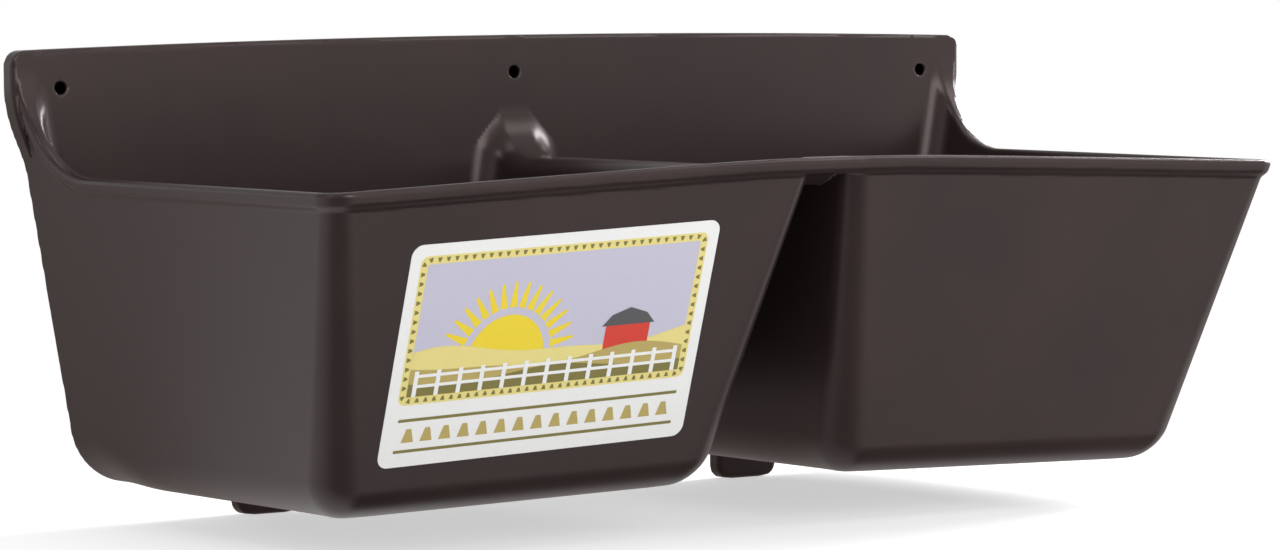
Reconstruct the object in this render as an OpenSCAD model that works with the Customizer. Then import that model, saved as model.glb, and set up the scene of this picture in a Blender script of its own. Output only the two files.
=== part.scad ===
// Livestock mineral feeder with two tapered tubs side by side, moulded against one back plate that screws
// to a wall or a fence. A rolled rim runs round the tubs and sweeps up into the plate at both ends, a
// divider bridges the gap between the tubs and flares up the plate, and a label is stuck on one tub.
// Lengths are in millimetres. The feeder hangs with +Z up and its front towards -Y.

/* [Back plate] */
// Width of the plate across its two ends
plate_w = 612; // [560:2:680]
// Height of the top edge above the middle of the rim
plate_rise = 58; // [52:1:80]
// How far the top edge falls from its middle to its ends
plate_crown = 4; // [0:0.5:8]
// Radius of the two top corners
plate_corner_r = 8; // [6:1:14]
// Depth of the edge that is turned back round the plate
edge_depth = 10; // [7:0.5:16]
// How far the plate's ends stand out past the tubs at the rim
wing = 11; // [6:1:20]
// Height over which the plate's ends widen to their full width
wing_h = 46; // [30:1:52]
// Radius of the plate's two lower corners, where the end walls meet it
heel_r = 28; // [16:1:34]

/* [Feet] */
// Distance across the outer edges of the two feet that hang below the tubs
feet_span = 350; // [300:5:440]
// Width of each foot
foot_w = 40; // [30:1:60]
// How far the feet hang below the middle of the tubs' underside
foot_drop = 27; // [20:1:45]
// Radius of the feet's lower corners
foot_corner_r = 8; // [5:1:12]

/* [Screw holes] */
// Diameter of the screw holes
hole_d = 6.5; // [4:0.5:9]
// Distance from each end of the plate to its outer screw hole
hole_inset = 28; // [22:1:45]
// Distance from the plate's top edge down to each hole
hole_drop = 20; // [18:1:24]
// Diameter of the boss behind each hole, which stands against the wall
boss_d = 15; // [12:0.5:20]

/* [Tubs] */
// Height of the tubs from the underside to the middle of the rim
tub_h = 164; // [130:1:200]
// Distance from the plate's face to the outside of the front wall at the rim
rim_depth = 287; // [240:1:330]
// How far the front wall leans in from the rim down to the floor
front_taper = 53; // [30:1:70]
// How far each end wall leans in from the rim down to the floor
end_taper = 29.5; // [15:0.5:40]
// Gap between the two tubs at the rim
gap_w = 19; // [12:1:30]
// How far each inner wall leans away from the gap from the rim down to the floor
gap_taper = 29; // [15:0.5:40]
// Thickness of the moulded walls
wall_t = 4.5; // [3:0.5:6]
// Outside radius of the upright corners at the rim
rim_corner_r = 11; // [9:1:20]
// Outside radius of the upright corners at the floor
floor_corner_r = 19; // [12:1:26]
// Outside radius between the floor and the front wall
front_floor_r = 15; // [10:1:20]
// Outside radius between the floor and the inner walls
gap_floor_r = 20; // [10:1:24]
// Outside radius between the floor and the end walls, away from the plate
end_floor_r = 20; // [12:1:30]
// Radius of the inside corners against the plate
fillet_r = 13; // [8:1:18]
// How far the floor falls from the middle of the feeder to its ends
floor_fall = 6; // [0:0.5:8]

/* [Rim] */
// Height of the rim
rim_h = 8; // [5:0.5:11]
// How far the rim stands out past the wall below it
rim_out = 2.5; // [1.5:0.5:4]
// Radius of the rim's top edges
rim_edge_r = 3; // [1.5:0.5:4]
// How far the rim falls from the middle of the feeder to its ends
rim_fall = 9.5; // [0:0.5:14]
// Length over which the rim bends at the middle of the feeder
rim_bend = 40; // [20:5:80]
// Radius of the sweep that carries the rim up into the plate
sweep_r = 54; // [30:1:56]

/* [Divider] */
// How far the divider lies below the rim
divider_drop = 7; // [0:0.5:10]
// Length over which the divider falls, behind the rim
dip_run = 22; // [15:1:40]
// Radius of the flare that carries the divider up into the plate
saddle_r = 27; // [20:1:44]
// Depth of the rounding over the divider's top
ridge_round = 6; // [3:0.5:8]

/* [Label] */
// Width of the label
label_w = 178; // [120:1:190]
// Height of the label
label_h = 114; // [70:1:118]
// Radius of the label's corners
label_corner_r = 6; // [2:0.5:12]
// Thickness of the label
label_t = 0.3; // [0.2:0.05:0.6]
// Distance down the wall from the rim to the label's upper edge
label_drop = 34; // [20:1:38]
// How far the label sits from the middle of the wall towards the feeder's end
label_offset = 2; // [0:0.5:4]
// How far the label's inner side stands above its outer side, as the rim does
label_rise = 7; // [0:0.5:8]

/* [Hidden] */

// Colours of the moulding and the label
plastic = [0.24, 0.21, 0.20];
paper = [0.93, 0.92, 0.86];

// Lengths that follow from the driving dimensions
half_w = plate_w / 2;
feet_half = feet_span / 2;
foot_x = feet_half - foot_w;
outer_hole_x = half_w - hole_inset;
gap_half = gap_w / 2;
rim_half = half_w - wing;
floor_half = rim_half - end_taper;
reach = rim_depth + rim_out;
level_half = gap_half + rim_corner_r;
ridge_crown = min(ridge_round, rim_h);
rim_round = min(rim_edge_r, (wall_t + rim_out) / 2, rim_h);
glue_t = label_t / 4;
cut_over = wall_t;

// How far each wall leans for every millimetre of height
end_lean = end_taper / tub_h;
gap_lean = gap_taper / tub_h;
front_lean = front_taper / tub_h;

// Share of the upright corners' radius that is left where they run into the floor
floor_corner_share = 0.12;

// Number of straight steps along each curve
crown_steps = 12;
corner_steps = 6;
sweep_steps = 8;
front_steps = 10;
fillet_steps = 4;
floor_steps = 5;
edge_steps = 3;
ridge_steps = 12;
saddle_steps = 9;

// Stretches that the wall of a tub goes through, from the plate round the front and back to the plate
END = 0;
END_CORNER = 1;
FRONT = 2;
GAP_CORNER = 3;
DIP = 4;
GAP = 5;
MIDDLE = 6;

// Value between a and b
function mix(a, b, share) = a + (b - a) * share;

// Outer faces of the walls at height z, where the middle of the rim is at zero
function end_x(z) = rim_half + z * end_lean;
function gap_x(z) = gap_half - z * gap_lean;
function front_y(z) = -rim_depth - z * front_lean;

// Outside radius of the upright corners at height z
function corner_r(z) = mix(rim_corner_r, floor_corner_r, min(1, max(0, -z / tub_h)));

// Height of the floor's underside, which falls evenly towards the ends
function floor_z(x) = -tub_h - floor_fall * x / floor_half;

// Fall of the rim, level over the divider and then bending into a straight slope
function bend_rise(run) = sqrt(run * run + rim_bend * rim_bend) - rim_bend;
function fall_at(x) = rim_fall * bend_rise(max(0, x - level_half)) / bend_rise(rim_half - level_half);

// Extra thickness of a wall where it rounds into the plate, at y in front of the plate
function fillet(y) =
    y > -fillet_r ? fillet_r - sqrt(max(0, fillet_r * fillet_r - (y + fillet_r) * (y + fillet_r))) : 0;

// Sweep of the end walls into the plate: share is 0 where it starts and 1 at the plate
sweep_wall_angle = asin(sweep_r / (sweep_r + rim_h));
function sweep_wall_y(share) =
    share == 1 ? 0 : (sweep_r + rim_h) * sin(share * sweep_wall_angle) - sweep_r;
function sweep_wall_z(share) = sweep_r - (sweep_r + rim_h) * cos(share * sweep_wall_angle) - rim_fall;
function sweep_rim_y(share) = sweep_r * sin(90 * share) - sweep_r;
function sweep_rim_z(share) = sweep_r - sweep_r * cos(90 * share) - rim_fall;

// Places along the wall of a tub, each a stretch and a share or an angle within it
end_places = [for (i = [0 : sweep_steps]) [END, 1 - i / sweep_steps]];
end_corner_places = [for (i = [0 : corner_steps]) [END_CORNER, 90 * i / corner_steps]];
front_places = [for (i = [1 : front_steps - 1]) [FRONT, i / front_steps]];
gap_corner_places = [for (i = [0 : corner_steps]) [GAP_CORNER, 90 * i / corner_steps]];
gap_places = [for (i = [0 : fillet_steps]) [GAP, fillet_r * (sin(90 * i / fillet_steps) - 1)]];
dip_place = [DIP, 0];
wall_places = concat(end_places, end_corner_places, front_places, gap_corner_places, [dip_place], gap_places);
rim_places = concat(end_places, end_corner_places, front_places, [[GAP_CORNER, 0], [MIDDLE, 0]]);

// Plan position of a place at height z. insets holds how far the end, front and gap faces stand in from
// the wall's outer face, r is the corner radius, and back_fillet adds the rounding against the plate.
function plan(place, z, insets, r, back_fillet) =
    let (stretch = place[0], at = place[1])
    stretch == END ? [end_x(z) - insets[0] - back_fillet * fillet(sweep_wall_y(at)), sweep_wall_y(at)] :
    stretch == END_CORNER ?
        [end_x(z) - insets[0] - r + r * cos(at), front_y(z) + insets[1] + r - r * sin(at)] :
    stretch == FRONT ?
        [mix(end_x(z) - corner_r(z), gap_x(z) + corner_r(z), at), front_y(z) + insets[1]] :
    stretch == GAP_CORNER ?
        [gap_x(z) + insets[2] + r - r * sin(at), front_y(z) + insets[1] + r - r * cos(at)] :
    stretch == DIP ? [gap_x(z) + insets[2], front_y(z) + insets[1] + r + dip_run] :
    stretch == GAP ? [gap_x(z) + insets[2] + back_fillet * fillet(at), at] :
    [0, front_y(z) + insets[1]];

// Plan position on a face that stands evenly in from the wall's outer face, or out where inset is negative
function even_plan(place, z, inset, back_fillet) =
    plan(place, z, [inset, inset, inset], corner_r(z) - inset, back_fillet);

// How far the wall's top lies below the rim's lower edge, which is where the divider has fallen
function drop_at(place) = place[0] == DIP || place[0] == GAP ? divider_drop : 0;

// Height of the wall's top, where the rim or the divider takes over
function wall_top(place) =
    place[0] == END ? sweep_wall_z(place[1]) :
    -rim_h - fall_at(even_plan(place, 0, 0, 0)[0]) - drop_at(place);

// Height of the rim's top
function rim_top(place) =
    place[0] == END ? sweep_rim_z(place[1]) : -fall_at(even_plan(place, 0, 0, 0)[0]);

// Radius between the floor and the end wall at a place, which grows towards the plate
function end_r(place) = place[0] == END ? mix(end_floor_r, heel_r, place[1]) : end_floor_r;

// Radius between floor and wall at a place
function floor_r(place) =
    let (stretch = place[0], corner_share = place[1] / 90)
    stretch == END ? end_r(place) :
    stretch == END_CORNER ? mix(end_floor_r, front_floor_r, corner_share) :
    stretch == FRONT ? front_floor_r :
    stretch == GAP_CORNER ? mix(front_floor_r, gap_floor_r, corner_share) :
    gap_floor_r;

// One ring round the bottom edge of a tub. skin is 0 for the outside and the wall's thickness for the
// inside, and angle runs from 90 at the floor to 0 where the wall starts.
function floor_ring(skin, angle) =
    let (
        turn = 1 - cos(angle),
        front_in = skin + (front_floor_r - skin) * turn,
        gap_in = skin + (gap_floor_r - skin) * turn,
        r = (floor_corner_r - skin) * (1 - (1 - floor_corner_share) * turn),
        back_fillet = skin > 0 ? 1 : 0
    )
    [for (place = wall_places)
        let (
            insets = [skin + (end_r(place) - skin) * turn, front_in, gap_in],
            rise = skin + (floor_r(place) - skin) * (1 - sin(angle)),
            rough = plan(place, rise - tub_h, insets, r, back_fillet),
            spot = plan(place, floor_z(rough[0]) + rise, insets, r, back_fillet)
        )
        [spot[0], spot[1], floor_z(spot[0]) + rise]];

// The ring at the top of a tub's wall, on the outside or the inside
function top_ring(skin) =
    [for (place = wall_places)
        let (z = wall_top(place), spot = even_plan(place, z, skin, skin > 0 ? 1 : 0))
        [spot[0], spot[1], z]];

function flatten(lists) = [for (list = lists) each list];

// Two triangles for the four corners a, b, c, d taken in order
function quad(a, b, c, d) = [[a, b, c], [a, c, d]];

// Triangles between neighbouring rows of points, each row with count points, open at the rows' ends
function sheet_faces(rows, count) = flatten([
    for (row = [0 : rows - 2], i = [0 : count - 2])
        quad(row * count + i, row * count + i + 1, (row + 1) * count + i + 1, (row + 1) * count + i)
]);

// Triangles of a convex face, given its corners in order and the place in that list that they spread from
function fan(corners, start) =
    let (count = len(corners))
    [for (i = [1 : count - 2])
        [corners[start], corners[(start + i) % count], corners[(start + i + 1) % count]]];

function reversed(list) = [for (i = [len(list) - 1 : -1 : 0]) list[i]];

// Solid skinned over closed rings of points, with a flat convex face on the first and the last ring
module skin_rings(rings) {
    count = len(rings[0]);
    last = (len(rings) - 1) * count;
    sides = flatten([
        for (row = [0 : len(rings) - 2], i = [0 : count - 1])
            let (next = (i + 1) % count)
            quad(row * count + i, row * count + next, (row + 1) * count + next, (row + 1) * count + i)
    ]);
    first_face = fan([for (i = [count - 1 : -1 : 0]) i], 0);
    last_face = fan([for (i = [0 : count - 1]) last + i], 0);
    polyhedron(flatten(rings), concat(sides, first_face, last_face));
}

// Moves the feeder so that the middle of its box stands on the origin
module placed() {
    translate([0, (reach - edge_depth) / 2, tub_h + foot_drop]) children();
}

// Right-hand tub: front wall, end wall, inner wall and floor, open at the top and against the plate
module tub_shell() {
    angles = [for (i = [0 : floor_steps]) 90 - 90 * i / floor_steps];
    outside = concat([for (angle = angles) floor_ring(0, angle)], [top_ring(0)]);
    inside = concat([for (angle = angles) floor_ring(wall_t, angle)], [top_ring(wall_t)]);
    rings = concat(outside, reversed(inside));
    levels = len(outside);
    count = len(wall_places);
    last_ring = (len(rings) - 1) * count;
    corner = len(end_places) + floor(corner_steps / 2);
    underside = fan([for (i = [count - 1 : -1 : 0]) i], count - 1 - corner);
    floor_face = fan([for (i = [0 : count - 1]) last_ring + i], corner);
    end_back = flatten([for (level = [0 : levels - 2])
        quad(level * count, (level + 1) * count,
            last_ring - (level + 1) * count, last_ring - level * count)]);
    gap_back = flatten([for (level = [0 : levels - 2])
        quad(last_ring - level * count + count - 1, last_ring - (level + 1) * count + count - 1,
            (level + 1) * count + count - 1, level * count + count - 1)]);
    floor_back = quad(0, last_ring, last_ring + count - 1, count - 1);
    polyhedron(flatten(rings),
        concat(sheet_faces(len(rings), count), underside, floor_face, end_back, gap_back, floor_back));
}

// Right-hand half of the rim, from the plate round the end and along the front to the middle
module rim_bead() {
    arc = [for (i = [0 : edge_steps]) 90 * i / edge_steps];
    round_z = rim_h - rim_round;
    outer_arc = [for (a = arc) [rim_out - rim_round + rim_round * cos(a), round_z + rim_round * sin(a)]];
    inner_arc = [for (a = arc) [rim_round - wall_t - rim_round * sin(a), round_z + rim_round * cos(a)]];
    section = concat([[-wall_t, 0], [rim_out, 0]], outer_arc, inner_arc);
    rings = [for (place = rim_places)
        [for (corner = section)
            let (
                up_share = corner[1] / rim_h,
                z = mix(wall_top(place), rim_top(place), up_share),
                face_z = mix(z, rim_top(place), max(0, corner[0]) / rim_out),
                spot = even_plan(place, face_z, -corner[0], 0),
                sweep_y = mix(sweep_wall_y(place[1]), sweep_rim_y(place[1]), up_share),
                widened = max(0, -corner[0]) / wall_t * fillet(sweep_y)
            )
            place[0] == END ? [spot[0] - widened, sweep_y, z] : [spot[0], spot[1], z]]];
    skin_rings(reversed(rings));
}

// Height of the plate's top edge, which falls from its middle to its ends
function plate_top(x) = plate_rise - plate_crown * pow(x / (half_w - plate_corner_r), 2);

// Where the plate's end is at height z
function plate_end_x(z) =
    let (
        share = min(1, max(0, (z + rim_fall) / wing_h)),
        eased = share * share * (3 - 2 * share)
    )
    mix(end_x(z), half_w, eased);

// Right-hand half of the plate's outline, drawn inset from its edge
function plate_half(inset) =
    let (
        corner_x = half_w - plate_corner_r,
        corner_z = plate_rise - plate_crown - plate_corner_r,
        corner_in = max(0, plate_corner_r - inset),
        foot_in = max(0, foot_corner_r - inset),
        foot_z = inset + foot_in - tub_h - foot_drop,
        heel_in = heel_r - inset,
        top = [for (i = [0 : crown_steps - 1])
            let (x = corner_x * i / crown_steps)
            [x, plate_top(x) - inset]],
        shoulder = [for (i = [0 : corner_steps])
            let (angle = 90 - 90 * i / corner_steps)
            [half_w - inset - corner_in + corner_in * cos(angle),
                corner_z + plate_corner_r - inset - corner_in + corner_in * sin(angle)]],
        side = [for (i = [0 : sweep_steps])
            let (z = wing_h * (1 - i / sweep_steps) - rim_fall)
            [plate_end_x(z) - inset, z]],
        heel = [for (i = [floor_steps : -1 : 0])
            let (
                angle = 90 - 90 * i / floor_steps,
                rise = inset + heel_in * (1 - sin(angle)),
                rough = end_x(rise - tub_h) - inset - heel_in * (1 - cos(angle)),
                x = end_x(floor_z(rough) + rise) - inset - heel_in * (1 - cos(angle))
            )
            [x, floor_z(x) + rise]],
        foot_outside = [for (i = [0 : corner_steps])
            let (angle = -90 * i / corner_steps)
            [feet_half - inset - foot_in + foot_in * cos(angle), foot_z + foot_in * sin(angle)]],
        foot_inside = [for (i = [0 : corner_steps])
            let (angle = -90 - 90 * i / corner_steps)
            [foot_x + inset + foot_in + foot_in * cos(angle), foot_z + foot_in * sin(angle)]],
        knees = [for (x = [feet_half - inset, foot_x + inset]) [x, floor_z(x) + inset]]
    )
    concat(top, shoulder, side, heel, [knees[0]], foot_outside, foot_inside, [knees[1]]);

module plate_outline(inset) {
    half = plate_half(inset);
    mirrored = [for (i = [len(half) - 1 : -1 : 1]) [-half[i][0], half[i][1]]];
    polygon(concat(half, mirrored));
}

// Upright sheet of the given thickness that runs back from the plate's face
module upright(thickness) {
    translate([0, thickness, 0]) rotate([90, 0, 0]) linear_extrude(thickness) children();
}

// Places what stands along the axis of each screw hole, from the plate's face backwards
module at_screw_holes() {
    for (x = [-outer_hole_x, 0, outer_hole_x])
        translate([x, 0, plate_top(x) - hole_drop]) rotate([-90, 0, 0]) children();
}

// Clear way for each screw, through the plate and its boss and just in front of them
module screw_holes() {
    at_screw_holes() translate([0, 0, -cut_over])
        cylinder(d = hole_d, h = edge_depth + 2 * cut_over, $fn = 48);
}

// Plate with its turned-back edge, its two feet and the bored bosses of the screw holes
module back_plate() {
    color(plastic) placed() difference() {
        union() {
            upright(wall_t) plate_outline(0);
            upright(edge_depth) difference() {
                plate_outline(0);
                plate_outline(wall_t);
            }
            at_screw_holes() cylinder(d = boss_d, h = edge_depth, $fn = 48);
        }
        screw_holes();
    }
}

module left_tub() { color(plastic) placed() mirror([1, 0, 0]) tub_shell(); }

module right_tub() { color(plastic) placed() tub_shell(); }

module left_rim() { color(plastic) placed() mirror([1, 0, 0]) rim_bead(); }

module right_rim() { color(plastic) placed() rim_bead(); }

// Bridge over the gap between the tubs, rounded on top, which falls behind the rim and flares up the plate
module divider() {
    arch = [for (i = [0 : ridge_steps]) 180 * i / ridge_steps];
    front_rings = [for (place = concat(gap_corner_places, [dip_place]))
        let (
            base_z = -rim_h - drop_at(place),
            side_z = -ridge_crown - drop_at(place),
            foot = even_plan(place, base_z, wall_t, 1),
            side = even_plan(place, side_z, wall_t, 1)
        )
        concat(
            [[-foot[0], foot[1], base_z], [foot[0], foot[1], base_z]],
            [for (angle = arch)
                let (z = side_z + ridge_crown * sin(angle))
                [side[0] * cos(angle), even_plan(place, z, wall_t, 1)[1], z]])];
    base_z = -rim_h - divider_drop;
    side_z = -ridge_crown - divider_drop;
    back_rings = [for (i = [0 : saddle_steps])
        let (
            angle = 90 * i / saddle_steps,
            y = saddle_r * (sin(angle) - 1),
            rise = saddle_r * (1 - cos(angle)),
            foot_x = gap_x(base_z) + wall_t + fillet(y),
            side_x = gap_x(side_z) + wall_t + fillet(y)
        )
        concat(
            [[-foot_x, y, base_z], [foot_x, y, base_z]],
            [for (turn = arch) [side_x * cos(turn), y, (ridge_crown + rise) * sin(turn) + side_z]])];
    color(plastic) placed() difference() {
        skin_rings(concat(front_rings, back_rings));
        screw_holes();
    }
}

// Label on the front wall of the left-hand tub, upright, with its upper and lower edges sloping as the rim does
module label() {
    wall_angle = atan(front_lean);
    centre_drop = label_drop + label_h / 2;
    centre_z = -centre_drop * cos(wall_angle);
    centre_x = -(end_x(centre_z) + gap_x(centre_z)) / 2 - label_offset;
    sides = [1, -1, -1, 1];
    ends = [1, 1, -1, -1];
    outline = [for (corner = [0 : 3], i = [0 : corner_steps])
        let (
            angle = 90 * (corner + i / corner_steps),
            x = sides[corner] * (label_w / 2 - label_corner_r) + label_corner_r * cos(angle),
            y = ends[corner] * (label_h / 2 - label_corner_r) + label_corner_r * sin(angle)
        )
        [x, y + label_rise * x / label_w]];
    color(paper) placed()
        translate([centre_x, front_y(0), 0]) rotate([90 + wall_angle, 0, 0])
            translate([0, -centre_drop, glue_t]) linear_extrude(label_t) polygon(outline);
}

back_plate();
left_tub();
right_tub();
left_rim();
right_rim();
divider();
label();
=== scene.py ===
"""Dresses a double mineral feeder: one dark moulding with two tubs, and a printed label, on a pale floor.

The moulding is described as a distance, below zero inside the plastic and above zero outside, so that
every wall, rim, flare and fillet runs into the next one without a seam. A net of faces is then drawn over
the places where that distance is zero. The moulding, the label, the black cards of painted shade behind the
screw holes and the camera are given in millimetres. Lamps, floor and patterns are given in metres.
"""

import logging
import math
from dataclasses import dataclass
from enum import Enum

import bpy
import numpy as np
from mathutils import Matrix, Vector

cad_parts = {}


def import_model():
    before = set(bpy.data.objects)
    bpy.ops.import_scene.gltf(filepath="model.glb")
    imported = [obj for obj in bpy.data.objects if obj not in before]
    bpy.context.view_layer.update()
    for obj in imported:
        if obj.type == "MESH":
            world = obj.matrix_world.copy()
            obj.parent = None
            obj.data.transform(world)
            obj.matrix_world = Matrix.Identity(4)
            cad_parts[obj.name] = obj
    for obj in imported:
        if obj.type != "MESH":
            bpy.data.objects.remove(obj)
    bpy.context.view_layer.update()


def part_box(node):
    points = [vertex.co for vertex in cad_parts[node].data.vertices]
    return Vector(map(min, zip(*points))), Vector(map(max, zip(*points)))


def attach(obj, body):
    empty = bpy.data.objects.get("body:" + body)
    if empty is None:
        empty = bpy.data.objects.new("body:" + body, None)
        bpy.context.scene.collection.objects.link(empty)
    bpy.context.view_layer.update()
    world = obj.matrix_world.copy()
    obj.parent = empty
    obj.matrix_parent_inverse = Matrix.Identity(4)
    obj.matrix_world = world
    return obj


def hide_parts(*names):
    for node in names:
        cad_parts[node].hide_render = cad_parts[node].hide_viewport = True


LOG = logging.getLogger("feeder")

MM = 0.001
BODY = "root"

Array = np.ndarray
Colour = tuple[float, float, float]
Spot = tuple[float, float]
Point = tuple[float, float, float]
Socket = bpy.types.NodeSocket
Source = Socket | float | tuple[float, ...]
Inputs = dict[str | int, Source]

WHITE: Colour = (1.0, 1.0, 1.0)
BLACK: Colour = (0.0, 0.0, 0.0)
WHOLE: Spot = (0.0, 1.0)


def share_between(low: float, high: float, value: Array) -> Array:
    """Gives how far a value lies from low to high, eased at both ends.

    Args:
        low: The value at which the share is 0.
        high: The value at which the share is 1.
        value: The values to place.

    Returns:
        Shares from 0 to 1.
    """
    share = np.clip((value - low) / (high - low), 0.0, 1.0)
    return share * share * (3.0 - 2.0 * share)


def mix(first: Array, second: Array, share: Array) -> Array:
    """Gives the value that lies the given share of the way from first to second."""
    return first + (second - first) * share


def both(first: Array, second: Array, radius: Array) -> Array:
    """Gives the distance to what two shapes share, with the edge between them rounded.

    Args:
        first: Distance to one shape.
        second: Distance to the other shape.
        radius: Radius of the rounded edge.

    Returns:
        The distance to the shared shape.
    """
    corner = np.hypot(np.maximum(first + radius, 0.0), np.maximum(second + radius, 0.0))
    return np.minimum(np.maximum(first, second), -radius) + corner


def either(first: Array, second: Array, radius: Array) -> Array:
    """Gives the distance to two shapes together, with the corner between them filled round.

    Args:
        first: Distance to one shape.
        second: Distance to the other shape.
        radius: Radius of the fillet.

    Returns:
        The distance to the joined shape.
    """
    return -both(-first, -second, radius)


@dataclass
class MouldingForm:
    """Shape of the moulding, measured in millimetres from the plate's face and the middle of the rim.

    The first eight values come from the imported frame, and the others are the moulding's own.
    """

    face_y: float
    rim_z: float
    half_width: float
    plate_rise: float
    edge_depth: float
    tub_height: float
    foot_drop: float
    reach: float
    plate_crown: float = 4.0
    plate_corner_r: float = 8.0
    plate_edge_r: float = 2.6
    plate_rear_r: float = 1.4
    recess_r: float = 2.0
    wing: float = 11.0
    wing_height: float = 46.0
    heel_r: float = 28.0
    feet_half: float = 175.0
    foot_width: float = 40.0
    foot_corner_r: float = 8.0
    wall: float = 4.5
    front_taper: float = 53.0
    end_taper: float = 29.5
    gap_half: float = 9.5
    gap_taper: float = 29.0
    rim_corner_r: float = 11.0
    floor_corner_r: float = 19.0
    front_floor_r: float = 15.0
    gap_floor_r: float = 20.0
    end_floor_r: float = 20.0
    floor_fall: float = 6.0
    fillet_r: float = 13.0
    outer_fillet_r: float = 4.0
    outer_fillet_z: float = -32.0
    foot_fillet_r: float = 2.0
    rim_height: float = 8.0
    rim_out: float = 2.5
    rim_edge_r: float = 3.0
    rim_edge_from: float = -16.0
    rim_edge_to: float = -9.6
    rim_inner_r: float = 2.2
    lip_r: float = 2.4
    lip_fillet_r: float = 2.2
    rim_fall: float = 9.5
    rim_bend: float = 40.0
    sweep_r: float = 54.0
    divider_half: float = 28.5
    divider_end: float = 47.5
    divider_drop: float = 7.0
    dip_run: float = 22.0
    saddle_r: float = 27.0
    ridge_r: float = 8.0
    hole_r: float = 3.25
    hole_edge_r: float = 0.8
    hole_inset: float = 28.0
    hole_drop: float = 20.0
    boss_r: float = 7.5

    @classmethod
    def from_frame(cls) -> "MouldingForm":
        """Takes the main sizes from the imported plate, rim, divider and tub.

        Returns:
            The form at its place on the frame.
        """
        plate_low, plate_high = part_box("back_plate")
        divider_low, divider_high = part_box("divider")
        tub_low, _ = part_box("right_tub")
        rim_low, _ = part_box("right_rim")
        half_width = plate_high.x / MM
        rim_z = divider_low.z + (cls.rim_height + cls.divider_drop) * MM
        fall_share = 1.0 - cls.end_floor_r / (half_width - cls.wing - cls.end_taper)
        floor_z = tub_low.z + cls.floor_fall * fall_share * MM
        return cls(
            face_y=divider_high.y / MM,
            rim_z=rim_z / MM,
            half_width=half_width,
            plate_rise=(plate_high.z - rim_z) / MM,
            edge_depth=(plate_high.y - divider_high.y) / MM,
            tub_height=(rim_z - floor_z) / MM,
            foot_drop=(floor_z - plate_low.z) / MM,
            reach=(divider_high.y - rim_low.y) / MM,
        )

    def in_scene(self) -> Matrix:
        """Gives what carries the form's millimetres into the scene's metres."""
        return Matrix.Scale(MM, 4) @ Matrix.Translation((0.0, self.face_y, self.rim_z))

    @property
    def rim_half(self) -> float:
        """Half of the feeder's width over its end walls, at the middle of the rim."""
        return self.half_width - self.wing

    @property
    def rim_depth(self) -> float:
        """Distance from the plate's face to the front wall at the rim."""
        return self.reach - self.rim_out

    @property
    def outer_hole_x(self) -> float:
        """Distance of the outer screw holes from the middle of the plate."""
        return self.half_width - self.hole_inset

    def hole_z(self, x: float) -> float:
        """Gives the height of a screw hole, evenly below the plate's top edge."""
        return self.plate_top(x) - self.hole_drop

    def end_x(self, z: Array) -> Array:
        """Gives where the end wall's outer face is at a height."""
        return self.rim_half + z * self.end_taper / self.tub_height

    def gap_x(self, z: Array) -> Array:
        """Gives where the inner wall's face towards the gap is at a height."""
        return self.gap_half - z * self.gap_taper / self.tub_height

    def front_y(self, z: Array) -> Array:
        """Gives where the front wall's outer face is at a height."""
        return -self.rim_depth - z * self.front_taper / self.tub_height

    def floor_z(self, x: Array) -> Array:
        """Gives the height of the floor's underside, which falls towards the ends."""
        return -self.tub_height - self.floor_fall * x / (self.rim_half - self.end_taper)

    def corner_r(self, z: Array) -> Array:
        """Gives the outside radius of the upright corners, which widens down to the floor."""
        return mix(self.rim_corner_r, self.floor_corner_r, np.clip(-z / self.tub_height, 0.0, 1.0))

    def plate_top(self, x: Array) -> Array:
        """Gives the height of the plate's top edge, which falls from its middle to its ends."""
        straight_half = self.half_width - self.plate_corner_r
        return self.plate_rise - self.plate_crown * np.minimum(x / straight_half, 1.0) ** 2

    def fall(self, x: Array) -> Array:
        """Gives how far the rim has fallen: level over the divider, then bending into a straight slope.

        Args:
            x: Places across the feeder, all on its right half.

        Returns:
            Distances below the middle of the rim.
        """
        level_half = self.gap_half + self.rim_corner_r
        run = np.maximum(x - level_half, 0.0)
        return self.rim_fall * self._bent(run) / self._bent(self.rim_half - level_half)

    def _bent(self, run: Array) -> Array:
        """Gives a fall that starts level and bends into a straight slope along its run."""
        return np.hypot(run, self.rim_bend) - self.rim_bend

    def plate_outline(self, x: Array, z: Array) -> Array:
        """Gives the distance from the plate's outline, seen from the front.

        Args:
            x: Places across the feeder, all on its right half.
            z: Heights.

        Returns:
            Distances, below zero inside the outline.
        """
        widening = share_between(-self.rim_fall, self.wing_height - self.rim_fall, z)
        side = x - mix(self.end_x(z), self.half_width, widening)
        upper = both(side, z - self.plate_top(x), self.plate_corner_r)
        foot_x = self.feet_half - self.foot_width / 2.0
        level_share = share_between(self.feet_half, self.feet_half - self.foot_width, x)
        lower_z = mix(self.floor_z(x), self.floor_z(self.feet_half - self.foot_width), level_share)
        plate = both(upper, lower_z - z, self.heel_r)
        base_z = -self.tub_height - self.foot_drop
        foot = both(np.abs(x - foot_x) - self.foot_width / 2.0, base_z - z, self.foot_corner_r)
        foot = both(foot, z + self.tub_height / 2.0, 0.0)
        return either(plate, foot, self.foot_fillet_r)

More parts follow.
